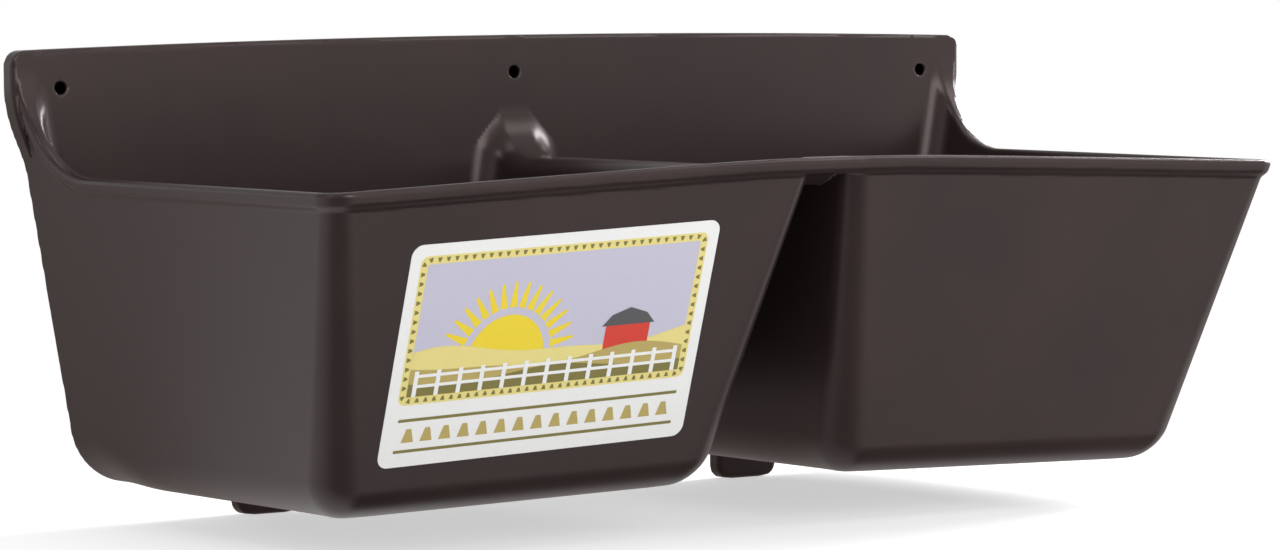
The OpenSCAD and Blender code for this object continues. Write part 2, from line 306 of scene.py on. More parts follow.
    def distance(self, x: Array, y: Array, z: Array) -> Array:
        """Gives the distance from the moulding's surface.

        Args:
            x: Places across the feeder, from its middle.
            y: Places in depth, from the plate's face towards the wall.
            z: Heights above the middle of the rim.

        Returns:
            Distances, below zero inside the plastic.
        """
        x = np.abs(x)
        end = (x - self.end_x(z)) * self._upright(self.end_taper)
        gap = (self.gap_x(z) - x) * self._upright(self.gap_taper)
        front = (self.front_y(z) - y) * self._upright(self.front_taper)
        floor = self.floor_z(x) - z
        corner_r = self.corner_r(z)
        end_r = mix(self.end_floor_r, self.heel_r, share_between(-self.sweep_r, 0.0, y))
        floor_r = mix(self.front_floor_r, end_r, share_between(-corner_r, corner_r, end - front))
        at_gap = share_between(-corner_r, corner_r, gap - np.maximum(end, front))
        floor_r = mix(floor_r, self.gap_floor_r, at_gap)

        beside_gap = share_between(self.divider_half, self.divider_end, x)
        dip_y = self.rim_corner_r - self.rim_depth
        on_divider = share_between(dip_y, dip_y + self.dip_run, y) * (1.0 - beside_gap)
        level = z + self.fall(x) + self.divider_drop * on_divider
        flare_r = mix(self.saddle_r, self.sweep_r, share_between(self.gap_half, self.rim_half, x))
        top = either(level, -y, flare_r)

        perimeter = both(end, front, corner_r)
        tub = both(both(perimeter, gap, corner_r), floor, floor_r)
        rim = mix(level, top, beside_gap)
        lip = both(perimeter - self.rim_out, -self.rim_height - rim, self.lip_r)
        on_outside = np.maximum(beside_gap, share_between(-self.rim_corner_r, 0.0, front))
        outside = either(tub, lip, self.lip_fillet_r * on_outside)

        inner_r = corner_r - self.wall
        cavity = both(both(end + self.wall, front + self.wall, inner_r), gap + self.wall, inner_r)
        cavity = both(cavity, floor + self.wall, floor_r - self.wall)
        cavity = both(cavity, y, self.fillet_r)

        opened = both(top, -cavity, mix(self.rim_inner_r, self.ridge_r, on_divider))
        at_rim = share_between(self.rim_edge_from, self.rim_edge_to, level)
        edge_r = mix(self.rim_edge_r, self.plate_edge_r, share_between(0.0, self.sweep_r / 2.0, level))
        body = both(outside, opened, edge_r * at_rim)

        outline = self.plate_outline(x, z)
        body = np.maximum(body, both(x - self.half_width, z - self.plate_top(x), self.plate_corner_r))
        plate = both(outline, -y, self.plate_edge_r)
        below_rim = share_between(-self.rim_height - self.rim_fall, self.outer_fillet_z, z)
        outside_share = share_between(-self.wall, 0.0, tub)
        stands_out = share_between(0.0, -2.0 * self.outer_fillet_r, outline)
        joined = either(body, plate, self.outer_fillet_r * below_rim * outside_share * stands_out)
        joined = both(joined, y - self.edge_depth, self.plate_rear_r)

        from_holes = self.from_holes(x, z)
        recess = both(outline + self.wall, self.wall - y, self.recess_r)
        recess = both(recess, self.boss_r - from_holes, self.recess_r)
        hollowed = both(joined, -recess, self.plate_rear_r)
        return both(hollowed, self.hole_r - from_holes, self.hole_edge_r)

    def _upright(self, taper: float) -> float:
        """Gives the cosine of a wall's lean, which turns a level distance into one from the wall."""
        return self.tub_height / math.hypot(self.tub_height, taper)

    def from_holes(self, x: Array, z: Array) -> Array:
        """Gives the distance from the axis of the nearest screw hole.

        Args:
            x: Places across the feeder, all on its right half.
            z: Heights.

        Returns:
            Distances from the axis.
        """
        from_middle = np.hypot(x, z - self.hole_z(0.0))
        from_outer = np.hypot(x - self.outer_hole_x, z - self.hole_z(self.outer_hole_x))
        return np.minimum(from_middle, from_outer)


@dataclass(frozen=True)
class Stretch:
    """A stretch of a grid: where it ends and how far apart its lines are."""

    end: float
    step: float


def grid_lines(start: float, stretches: list[Stretch]) -> Array:
    """Gives the places of grid lines along one axis.

    Args:
        start: Place of the first line.
        stretches: The stretches that follow it, in order.

    Returns:
        Rising places of the lines.
    """
    lines = [np.array([start])]
    for stretch in stretches:
        begin = lines[-1][-1]
        count = max(1, round((stretch.end - begin) / stretch.step))
        lines.append(np.linspace(begin, stretch.end, count + 1)[1:])
    return np.concatenate(lines)


class SurfaceNet:
    """Net of four-sided faces over the places where a distance is zero."""

    def __init__(self, form: MouldingForm, axes: tuple[Array, Array, Array]) -> None:
        """Keeps the form and the grid lines that the net is drawn with."""
        self.form = form
        self.axes = axes

    def build(self) -> tuple[Array, Array]:
        """Draws the net.

        Returns:
            The points, one in each grid cell that the surface crosses, and the faces as rows of four.
        """
        value = self.form.distance(*np.meshgrid(*self.axes, indexing="ij", sparse=True))
        inside = value < 0.0
        cell_shape = tuple(size - 1 for size in value.shape)
        total = np.zeros(cell_shape + (3,))
        count = np.zeros(cell_shape, dtype=int)
        for axis in range(3):
            self._gather_crossings(axis, value, inside, total, count)
        crossed = count > 0
        index = np.full(cell_shape, -1)
        index[crossed] = np.arange(crossed.sum())
        points = total[crossed] / count[crossed][:, None]
        faces = np.concatenate([self._faces_across(axis, inside, index) for axis in range(3)])
        return self.settle(points), faces

    def _gather_crossings(
            self, axis: int, value: Array, inside: Array, total: Array, count: Array) -> None:
        """Adds where the surface crosses the grid's edges along one axis to the cells round those edges.

        Args:
            axis: The edges' axis.
            value: Distances on the grid.
            inside: Whether each grid point is inside the plastic.
            total: Sum of the crossings in each cell, which is added to.
            count: Number of crossings in each cell, which is added to.
        """
        low, high = self._ends(axis, value)
        where = np.nonzero(np.logical_xor(*self._ends(axis, inside)))
        share = low[where] / (low[where] - high[where])
        spots = np.stack([self.axes[a][where[a]] for a in range(3)], axis=1)
        line = self.axes[axis]
        spots[:, axis] = mix(line[where[axis]], line[where[axis] + 1], share)
        for cell in self._cells_round(axis, where):
            kept = np.all([(a >= 0) & (a < size) for a, size in zip(cell, count.shape)], axis=0)
            place = tuple(a[kept] for a in cell)
            np.add.at(total, place, spots[kept])
            np.add.at(count, place, 1)

    def _faces_across(self, axis: int, inside: Array, index: Array) -> Array:
        """Gives a face for each grid edge along one axis that the surface crosses.

        Args:
            axis: The edges' axis.
            inside: Whether each grid point is inside the plastic.
            index: Number of each cell's point.

        Returns:
            Faces as rows of four points, turned outwards.
        """
        low, high = self._ends(axis, inside)
        where = np.nonzero(low != high)
        leaving = low[where]
        faces = np.stack([index[cell] for cell in self._cells_round(axis, where)], axis=1)
        return np.where(leaving[:, None], faces, faces[:, ::-1])

    @staticmethod
    def _cells_round(axis: int, where: tuple[Array, ...]) -> list[tuple[Array, ...]]:
        """Gives the four grid cells that lie round each of some edges along one axis.

        Args:
            axis: The edges' axis.
            where: Grid numbers of the edges' low ends, one array for each axis.

        Returns:
            The grid numbers of the four cells, in turn round the edge.
        """
        first, second = (axis + 1) % 3, (axis + 2) % 3
        cells = []
        for back_first, back_second in ((1, 1), (0, 1), (0, 0), (1, 0)):
            cell = list(where)
            cell[first] = where[first] - back_first
            cell[second] = where[second] - back_second
            cells.append(tuple(cell))
        return cells

    @staticmethod
    def _ends(axis: int, grid: Array) -> tuple[Array, Array]:
        """Gives the grid's values at the low and the high ends of the edges along one axis."""
        slices = np.moveaxis(grid, axis, 0)
        return np.moveaxis(slices[:-1], 0, axis), np.moveaxis(slices[1:], 0, axis)

    def settle(
            self, points: Array, rounds: int = 4, longest: float = 1.0, least_steep: float = 0.25) -> Array:
        """Moves points onto the surface.

        Args:
            points: Points near the surface.
            rounds: How often each point is moved.
            longest: The furthest that a point goes in one round.
            least_steep: The least that the squared slope is taken to be.

        Returns:
            The moved points.
        """
        for _ in range(rounds):
            slope = self.slope(points)
            steep = np.maximum((slope * slope).sum(axis=1), least_steep)
            step = self.form.distance(*points.T) / steep
            points = points - np.clip(step, -longest, longest)[:, None] * slope
        return points

    def slope(self, points: Array, reach: float = 0.02) -> Array:
        """Gives the direction in which the distance grows, which is the surface's normal there.

        Args:
            points: Points on or near the surface.
            reach: Half the length over which the growth is measured.

        Returns:
            One direction for each point.
        """
        slopes = []
        for axis in range(3):
            shift = np.zeros(3)
            shift[axis] = reach
            ahead = self.form.distance(*(points + shift).T)
            behind = self.form.distance(*(points - shift).T)
            slopes.append((ahead - behind) / (2.0 * reach))
        return np.stack(slopes, axis=1)


def new_object(name: str, data: bpy.types.ID) -> bpy.types.Object:
    """Puts a mesh, lamp or camera into the scene.

    Args:
        name: Name of the object.
        data: The mesh, lamp or camera.

    Returns:
        The object, at the origin.
    """
    made = bpy.data.objects.new(name, data)
    bpy.context.scene.collection.objects.link(made)
    return made


def new_mesh(name: str, points: list[Point], faces: list[tuple[int, ...]]) -> bpy.types.Mesh:
    """Makes a mesh.

    Args:
        name: Name of the mesh.
        points: Its points.
        faces: Its faces, each as the numbers of its points.

    Returns:
        The mesh.
    """
    mesh = bpy.data.meshes.new(name)
    mesh.from_pydata(points, [], faces)
    return mesh


def aimed(place: Vector, aim: Vector) -> Matrix:
    """Gives the turn and place of a lamp or camera that looks from one place towards another."""
    return Matrix.Translation(place) @ (aim - place).to_track_quat("-Z", "Y").to_matrix().to_4x4()


class NodeTree:
    """A node tree, with a short way to add nodes and to feed them."""

    def __init__(self, tree: bpy.types.NodeTree) -> None:
        """Keeps the tree that the nodes go into."""
        self.tree = tree

    def node(self, kind: str, inputs: Inputs | None = None, **options: object) -> bpy.types.Node:
        """Adds a node.

        Args:
            kind: Kind of the node.
            inputs: What feeds the node, by the name or number of the input.
            **options: The node's own settings.

        Returns:
            The node.
        """
        made = self.tree.nodes.new(kind)
        for option, value in options.items():
            setattr(made, option, value)
        self.feed(made, inputs or {})
        return made

    def feed(self, node: bpy.types.Node, inputs: Inputs) -> None:
        """Links a node's inputs to other nodes, or sets them where the source is a plain value.

        Args:
            node: The node.
            inputs: What feeds it, by the name or number of the input.
        """
        for label, source in inputs.items():
            target = node.inputs[label]
            if isinstance(source, bpy.types.NodeSocket):
                self.tree.links.new(source, target)
            elif target.type == "RGBA":
                target.default_value = (*source, 1.0)
            else:
                target.default_value = source


class ShaderNodes(NodeTree):
    """A shader's nodes, with short ways to add the few kinds that the finishes use."""

    def place(self) -> Socket:
        """Gives the place on the piece, in metres."""
        return self.node("ShaderNodeTexCoord").outputs["Object"]

    def attribute(self, name: str) -> Socket:
        """Gives a number that is kept on the piece's points."""
        return self.node("ShaderNodeAttribute", attribute_name=name).outputs["Fac"]

    def noise(self, grain: float, detail: float = 2.0, roughness: float = 0.5) -> Socket:
        """Gives an even random pattern.

        Args:
            grain: Size of one patch, in metres.
            detail: How many finer patterns are laid over it.
            roughness: How strong the finer patterns are.

        Returns:
            A number from 0 to 1.
        """
        inputs = {"Vector": self.place(), "Scale": 1.0 / grain, "Detail": detail, "Roughness": roughness}
        return self.node("ShaderNodeTexNoise", inputs).outputs["Fac"]

    def span(self, value: Socket, source: Spot, result: tuple[Source, Source]) -> Socket:
        """Turns one range of a number into another, held at both ends.

        Args:
            value: The number.
            source: Ends of its range.
            result: Ends of the range that it is turned into.

        Returns:
            The turned number.
        """
        labels = ("Value", "From Min", "From Max", "To Min", "To Max")
        inputs = dict(zip(labels, (value, *source, *result)))
        return self.node("ShaderNodeMapRange", inputs, clamp=True).outputs["Result"]

    def times(self, first: Socket, second: Source) -> Socket:
        """Gives the product of two numbers."""
        return self.node("ShaderNodeMath", {0: first, 1: second}, operation="MULTIPLY").outputs[0]

    def blend(self, share: Socket, first: Source, second: Source) -> Socket:
        """Gives a colour between two colours."""
        return self.node("ShaderNodeMix", {0: share, 6: first, 7: second}, data_type="RGBA").outputs[2]

    def bump(self, height: Socket, depth: float, strength: float, below: Socket | None = None) -> Socket:
        """Gives a normal that follows a height.

        Args:
            height: The height, from 0 to 1.
            depth: What a height of 1 measures, in metres.
            strength: Share of the bump that shows.
            below: The normal that the bump lies on, if it isn't the surface's own.

        Returns:
            The normal.
        """
        made = self.node("ShaderNodeBump", {"Height": height, "Distance": depth, "Strength": strength})
        if below is not None:
            self.feed(made, {"Normal": below})
        return made.outputs["Normal"]

    def ray(self, kind: str) -> Socket:
        """Gives 1 where the surface is met by rays of one kind, and 0 elsewhere."""
        return self.node("ShaderNodeLightPath").outputs[f"Is {kind} Ray"]

    def either_shader(self, share: Socket, first: Socket, second: Socket) -> Socket:
        """Gives a shader between two shaders."""
        return self.node("ShaderNodeMixShader", {0: share, 1: first, 2: second}).outputs[0]


class Shade(ShaderNodes):
    """A material with one surface shader, and its nodes."""

    def __init__(self, name: str) -> None:
        """Makes the material.

        Args:
            name: Name of the material.
        """
        self.material = bpy.data.materials.new(name)
        self.material.use_nodes = True
        super().__init__(self.material.node_tree)
        self.surface = self.tree.nodes["Principled BSDF"]
        self.output = self.tree.nodes["Material Output"]


@dataclass(frozen=True)
class SatinPlastic:
    """Dark moulded plastic: finely grained, slightly cloudy, paler on rubbed edges, with painted shade that
    turns it black in the holes.
    """

    colour: Colour = (0.0240, 0.0160, 0.0152)
    cloud_colour: Colour = (0.0290, 0.0192, 0.0180)
    rubbed_colour: Colour = (0.066, 0.050, 0.046)
    gloss: float = 0.44
    gloss_tint: Colour = (1.0, 0.82, 0.82)
    cloud: float = 0.09
    cloud_range: Spot = (0.35, 0.65)
    speck: float = 0.004
    speck_range: Spot = (0.42, 0.68)
    roughness: Spot = (0.29, 0.32)
    roughness_range: Spot = (0.3, 0.7)
    ripple: float = 0.045
    ripple_depth: float = 0.0006
    ripple_strength: float = 0.35
    grain: float = 0.0007
    grain_depth: float = 0.00004
    grain_strength: float = 0.25

    def make(self) -> bpy.types.Material:
        """Makes the material.

        Returns:
            The plastic.
        """
        shade = Shade("satin_plastic")
        clouds = shade.span(shade.noise(self.cloud, detail=4.0), self.cloud_range, WHOLE)
        body = shade.blend(clouds, self.colour, self.cloud_colour)
        specks = shade.noise(self.speck, detail=6.0, roughness=0.7)
        worn = shade.times(shade.attribute(Moulding.EDGE), shade.span(specks, self.speck_range, WHOLE))
        rubbed = shade.blend(worn, body, self.rubbed_colour)
        waves = shade.bump(shade.noise(self.ripple, detail=1.0), self.ripple_depth, self.ripple_strength)
        grain = shade.noise(self.grain, detail=1.0)
        shade.feed(shade.surface, {
            # Painted shade: the colour is blended to black on the walls of the screw holes.
            "Base Color": shade.blend(shade.attribute(Moulding.PAINTED_HOLE_SHADE), rubbed, BLACK),
            "Specular IOR Level": self.gloss,
            "Specular Tint": self.gloss_tint,
            "Roughness": shade.span(shade.noise(self.speck), self.roughness_range, self.roughness),
            "Normal": shade.bump(grain, self.grain_depth, self.grain_strength, below=waves),
        })
        return shade.material


@dataclass(frozen=True)
class PrintedSheet:
    """Coated paper or ink on it: a plain colour with a faint fibre and a soft gloss."""

    name: str
    colour: Colour
    roughness: float = 0.38
    fibre: float = 0.0016
    darker_share: float = 0.94
    fibre_depth: float = 0.00002
    fibre_strength: float = 0.4

    def make(self) -> bpy.types.Material:
        """Makes the material.

        Returns:
            The paper or ink.
        """
        shade = Shade(self.name)
        darker = tuple(self.darker_share * part for part in self.colour)
        fibres = shade.noise(self.fibre, detail=3.0)
        shade.feed(shade.surface, {
            "Base Color": shade.blend(fibres, self.colour, darker),
            "Roughness": self.roughness,
            "Normal": shade.bump(fibres, self.fibre_depth, self.fibre_strength),
        })
        return shade.material


@dataclass
class Moulding:
    """The moulded body: plate, tubs, rim and divider in one piece of plastic.

    Its lines, steps and margins give the grid that its net is drawn with.
    """

    EDGE = "rubbed_edge"
    PAINTED_HOLE_SHADE = "hole_shade"

    form: MouldingForm
    nodes: tuple[str, ...] = ("back_plate", "left_tub", "right_tub", "left_rim", "right_rim", "divider")
    saddle_lines: tuple[Stretch, ...] = (Stretch(32.0, 1.9), Stretch(48.0, 2.3), Stretch(62.0, 3.5))
    end_lines: tuple[Stretch, ...] = (Stretch(232.0, 14.0),)
    front_lines: tuple[Stretch, ...] = (Stretch(-262.0, 1.8), Stretch(-212.0, 2.0))
    cavity_lines: tuple[Stretch, ...] = (Stretch(-60.0, 14.0), Stretch(-16.0, 4.0), Stretch(-2.0, 2.0))
    floor_lines: tuple[Stretch, ...] = (Stretch(-175.0, 3.0), Stretch(-130.0, 2.1))
    rim_lines: tuple[Stretch, ...] = (Stretch(-45.0, 3.6), Stretch(-20.0, 2.8), Stretch(4.0, 1.4))
    hole_step: float = 0.85
    rear_step: float = 1.4
    edge_step: float = 1.7
    turn_step: float = 2.0
    plate_step: float = 2.4
    foot_step: float = 4.0
    flat_step: float = 14.0
    margin: float = 2.0
    side_margin: float = 3.0
    foot_margin: float = 4.0
    edge_margin: float = 8.0
    hole_reach_share: float = 1.3
    hole_wall_share: float = 1.1
    hole_shade_depth: float = 2.5
    rubbed_range: Spot = (0.02, 0.35)

    def grid(self) -> tuple[Array, Array, Array]:
        """Gives the grid lines, close together where the moulding turns and wide apart on flat walls.

        Returns:
            The places of the lines across, in depth and in height.
        """
        form = self.form
        hole_x = form.outer_hole_x
        hole_half = self.hole_reach_share * form.hole_r
        base_z = -form.tub_height - form.foot_drop
        foot_in = form.feet_half - form.foot_width + form.wall / 2.0
        foot_out = form.feet_half - form.wall / 2.0
        right = grid_lines(0.0, [
            Stretch(hole_half, self.hole_step),
            *self.saddle_lines,
            Stretch(foot_in - self.foot_margin, self.flat_step),
            Stretch(foot_in + self.foot_margin, self.foot_step),
            Stretch(foot_out - self.foot_margin, 2.0 * self.foot_step),
            Stretch(foot_out + self.foot_margin, self.foot_step),
            *self.end_lines,
            Stretch(hole_x - hole_half, self.plate_step),
            Stretch(hole_x + hole_half, self.hole_step),
            Stretch(form.half_width - self.edge_margin, self.plate_step),
            Stretch(form.half_width + self.side_margin, self.edge_step),
        ])
        deep = grid_lines(-form.reach - self.side_margin, [
            *self.front_lines,
            *self.cavity_lines,
            Stretch(form.edge_depth + self.margin, self.rear_step),
        ])
        up = grid_lines(base_z - self.margin, [
            Stretch(base_z + self.edge_margin, self.turn_step),
            *self.floor_lines,
            *self.rim_lines,
            Stretch(form.hole_z(hole_x) - hole_half, self.turn_step),
            Stretch(form.hole_z(0.0) + hole_half, self.hole_step),
            Stretch(form.plate_rise + self.margin, self.edge_step),
        ])
        return np.concatenate([-right[:0:-1], right]), deep, up

    def build(self) -> bpy.types.Object:
        """Makes the moulding's mesh.

        Returns:
            The moulding, smooth, with the normals of the form itself.
        """
        net = SurfaceNet(self.form, self.grid())
        points, faces = net.build()
        normals = net.slope(points)
        normals /= np.linalg.norm(normals, axis=1)[:, None]
        mesh = new_mesh("moulding", points.tolist(), faces.tolist())
        mesh.transform(self.form.in_scene())
        mesh.validate()
        mesh.polygons.foreach_set("use_smooth", np.ones(len(mesh.polygons), dtype=bool))
        mesh.normals_split_custom_set_from_vertices(normals.tolist())
        # The hole share is painted shade, which blends the plastic to black in the screw holes.
        shares = {self.EDGE: self.rubbed(points, normals), self.PAINTED_HOLE_SHADE: self.painted_hole_shade(points)}
        for name, share in shares.items():
            values = mesh.attributes.new(name, "FLOAT", "POINT").data
            values.foreach_set("value", share.astype(np.float32))
        LOG.info("moulding: %d points, %d faces", len(points), len(faces))
        return new_object("moulding", mesh)

    def rubbed(self, points: Array, normals: Array, depth: float = 1.5) -> Array:
        """Gives how much each point stands out as an edge that gets rubbed.

        Args:
            points: Points on the surface.
            normals: The surface's normals there.
            depth: How far below the surface the thickness is felt for.

        Returns:
            Shares from 0 on flat walls to 1 on tight edges.
        """
        below = self.form.distance(*(points - depth * normals).T)
        return share_between(*self.rubbed_range, 1.0 + below / depth)

    def painted_hole_shade(self, points: Array) -> Array:
        """Gives how far into a screw hole's painted shade each point lies.

        Args:
            points: Points on the surface.

        Returns:
            Shares from 0 outside the holes to 1 deep on their walls.
        """
        x, y, z = points.T
        radii = self.form.from_holes(np.abs(x), z) / self.form.hole_r
        on_wall = share_between(self.hole_reach_share, self.hole_wall_share, radii)
        return on_wall * share_between(0.0, self.hole_shade_depth, y)

    def dress(self, piece: bpy.types.Object) -> None:
        """Gives the moulding its plastic and ties it to the frame.

        Args:
            piece: The moulding.
        """
        piece.data.materials.append(SatinPlastic().make())
        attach(piece, BODY)
        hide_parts(*self.nodes)


class Ink(Enum):
    """Colours that the label is printed in, with the paper itself."""

    PAPER = (0.86, 0.86, 0.85)
    SKY = (0.56, 0.54, 0.66)
    YELLOW = (0.86, 0.66, 0.03)
    STRAW = (0.80, 0.69, 0.25)
    TAN = (0.49, 0.38, 0.12)
    OLIVE = (0.21, 0.18, 0.045)
    RED = (0.66, 0.045, 0.025)
    GREY = (0.09, 0.09, 0.095)


class RowPath(Enum):
    """Paths that a row of printed marks can run along."""

    RING = "ring"
    ARCH = "arch"
    LINE = "line"


@dataclass(frozen=True)
class MarkRow:
    """A row of equal four-sided printed marks, evenly spaced along a ring, an arch or a line."""

    name: str
    ink: Ink
    layer: int
    path: RowPath
    centre: Spot
    count: int
    length: float
    foot: float
    head: float
    width: float = 0.0
    height: float = 0.0
    corner_r: float = 0.0
    corner_steps: int = 12

    def build(self, plane: Matrix, material: bpy.types.Material) -> bpy.types.Object:
        """Makes the row's mesh.

        Args:
            plane: Where the label's plane lies.
            material: The ink.

        Returns:
            The row as one piece.
        """
        tree = bpy.data.node_groups.new(self.name, "GeometryNodeTree")
        tree.interface.new_socket("Marks", in_out="OUTPUT", socket_type="NodeSocketGeometry")
        sizes = {}
        for label, (kind, size) in self._sizes(material).items():
            socket = tree.interface.new_socket(label, in_out="INPUT", socket_type=kind)
            sizes[socket.identifier] = size
        self._set_marks(NodeTree(tree))

        carrier = new_object(self.name + "_carrier", bpy.data.meshes.new(self.name + "_carrier"))
        modifier = carrier.modifiers.new(self.name, "NODES")
        modifier.node_group = tree
        for identifier, size in sizes.items():
            modifier[identifier] = size
        graph = bpy.context.evaluated_depsgraph_get()
        mesh = bpy.data.meshes.new_from_object(carrier.evaluated_get(graph))
        mesh.name = self.name
        carrier.modifiers.remove(modifier)
        bpy.data.objects.remove(carrier)
        if mesh.polygons[0].normal.z < 0.0:
            mesh.flip_normals()
        mesh.transform(plane @ Matrix.Translation((*self.centre, 0.0)))
        return new_object(self.name, mesh)

    def _sizes(self, material: bpy.types.Material) -> dict[str, tuple[str, object]]:
        """Gives the inputs of the row's node tree.

        Args:
            material: The ink.

        Returns:
            The kind and the value of each input, by its name.
        """
        lengths = {
            "Path Width": self.width, "Path Height": self.height, "Path Corner": self.corner_r,
            "Mark Length": self.length, "Mark Foot": self.foot, "Mark Head": self.head}
        sizes = {label: ("NodeSocketFloat", length) for label, length in lengths.items()}
        sizes["Mark Count"] = ("NodeSocketInt", self.count)
        sizes["Mark Ink"] = ("NodeSocketMaterial", material)
        return sizes

    def _set_marks(self, nodes: NodeTree) -> None:
        """Adds the nodes that set the marks along the path.

        Args:
            nodes: The row's node tree, with its inputs.
        """
        sizes = nodes.node("NodeGroupInput").outputs
        spots = nodes.node("GeometryNodeResampleCurve", {
            "Curve": self._path(nodes, sizes), "Count": sizes["Mark Count"]})
        outline = nodes.node("GeometryNodeCurvePrimitiveQuadrilateral", mode="TRAPEZOID")
        nodes.feed(outline, {
            "Offset": 0.0, "Height": sizes["Mark Length"],
            "Bottom Width": sizes["Mark Foot"], "Top Width": sizes["Mark Head"]})
        mark = nodes.node("GeometryNodeFillCurve", {"Curve": outline.outputs["Curve"]})
        along = nodes.node("GeometryNodeInputTangent").outputs["Tangent"]
        turn = nodes.node("FunctionNodeAlignRotationToVector", {"Vector": along}, axis="X", pivot_axis="Z")
        row = nodes.node("GeometryNodeInstanceOnPoints", {
            "Points": spots.outputs["Curve"], "Instance": mark.outputs["Mesh"],
            "Rotation": turn.outputs["Rotation"]})
        real = nodes.node("GeometryNodeRealizeInstances", {"Geometry": row.outputs["Instances"]})
        inked = nodes.node("GeometryNodeSetMaterial", {
            "Geometry": real.outputs["Geometry"], "Material": sizes["Mark Ink"]})
        nodes.node("NodeGroupOutput", {"Marks": inked.outputs["Geometry"]})

    def _path(self, nodes: NodeTree, sizes: bpy.types.NodeOutputs) -> Socket:
        """Adds the path that the marks follow.

        Args:
            nodes: The row's node tree.
            sizes: The tree's inputs.

        Returns:
            The path's curve.
        """
        if self.path is RowPath.ARCH:
            arch = nodes.node("GeometryNodeCurveArc", {
                "Radius": sizes["Path Corner"], "Sweep Angle": math.pi})
            return arch.outputs["Curve"]
        if self.path is RowPath.LINE:
            end = nodes.node("ShaderNodeCombineXYZ", {"X": sizes["Path Width"]})
            line = nodes.node("GeometryNodeCurvePrimitiveLine", {"End": end.outputs["Vector"]})
            return line.outputs["Curve"]
        box = nodes.node("GeometryNodeCurvePrimitiveQuadrilateral", {
            "Width": sizes["Path Width"], "Height": sizes["Path Height"]})
        rounded = nodes.node("GeometryNodeFilletCurve", mode="POLY")
        nodes.feed(rounded, {
            "Curve": box.outputs["Curve"], "Count": self.corner_steps, "Radius": sizes["Path Corner"]})
        return rounded.outputs["Curve"]


def arc(centre: Spot, radius: float, start: float, end: float, steps: int) -> list[Spot]:
    """Gives evenly spaced points on an arc, from one angle to another in degrees."""
    angles = np.radians(np.linspace(start, end, steps))
    return [(centre[0] + radius * math.cos(a), centre[1] + radius * math.sin(a)) for a in angles]


def rounded_box(width: float, height: float, radius: float, centre: Spot, steps: int = 7) -> list[Spot]:
    """Gives the outline of an upright box with round corners.

    Args:
        width: Width of the box.
        height: Height of the box.
        radius: Radius of its corners.
        centre: Its middle.
        steps: Number of points on each corner.

    Returns:
        The outline, anticlockwise.
    """
    outline = []
    for quarter, (side, end) in enumerate(((1, 1), (-1, 1), (-1, -1), (1, -1))):
        corner = (centre[0] + side * (width / 2.0 - radius), centre[1] + end * (height / 2.0 - radius))
        outline += arc(corner, radius, 90.0 * quarter, 90.0 * (quarter + 1), steps)
    return outline


@dataclass(frozen=True)
class InkShape:
    """One printed area: its outline on the label, its ink, and its place in the order of printing."""

    outline: list[Spot]
    ink: Ink
    layer: int


